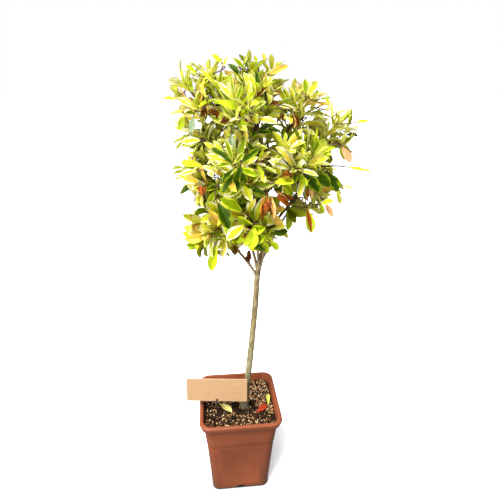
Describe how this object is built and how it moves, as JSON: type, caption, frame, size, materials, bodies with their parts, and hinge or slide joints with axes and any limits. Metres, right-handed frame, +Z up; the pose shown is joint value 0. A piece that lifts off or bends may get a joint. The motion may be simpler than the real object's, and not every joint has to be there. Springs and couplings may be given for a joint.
{
  "type": "potted standard chinese photinia",
  "caption": "Potted ornamental standard: square plastic nursery pot, bare clear stem and a loose head of variegated leaves, with a blank wooden label.",
  "frame": {"origin": "centre of the pot's flat underside, where the pot stands", "axes": "+Z up along the stem, -Y towards the side that the label faces, +X to the right of it; the pot's sides lie along X and Y"},
  "size_m": [0.4851, 0.4144, 1.2953],
  "materials": {
    "pot_plastic": "satin",
    "potting_mix": "rough",
    "bark": "rough",
    "leafage": "satin",
    "dry_leaf": "matte",
    "board_wood": "satin",
    "dark_pick": "satin"
  },
  "bodies": {
    "root": {"bough_back_left": "bark", "bough_back_right": "bark", "bough_crown_top": "bark", "bough_low_back": "bark", "bough_low_front": "bark", "bough_low_left": "bark", "bough_low_right": "bark", "bough_mid_back": "bark", "bough_mid_front": "bark", "bough_mid_left": "bark", "bough_mid_near": "bark", "bough_mid_right": "bark", "bough_right_tip": "bark", "bough_top_back": "bark", "bough_top_front": "bark", "bough_top_left": "bark", "bough_top_right": "bark", "bough_upper_left": "bark", "dropped_leaf_lime": "dry_leaf", "dropped_leaf_pale": "dry_leaf", "dropped_leaf_red": "dry_leaf", "foliage_back_left": "leafage", "foliage_back_right": "leafage", "foliage_crown_top": "leafage", "foliage_low_back": "leafage", "foliage_low_front": "leafage", "foliage_low_left": "leafage", "foliage_low_right": "leafage", "foliage_mid_back": "leafage", "foliage_mid_front": "leafage", "foliage_mid_left": "leafage", "foliage_mid_near": "leafage", "foliage_mid_right": "leafage", "foliage_right_tip": "leafage", "foliage_top_back": "leafage", "foliage_top_front": "leafage", "foliage_top_left": "leafage", "foliage_top_right": "leafage", "foliage_upper_left": "leafage", "label_board": "board_wood", "label_pick": "dark_pick", "pot": "pot_plastic", "soil": "potting_mix", "trunk": "bark"}
  },
  "joints": []
}
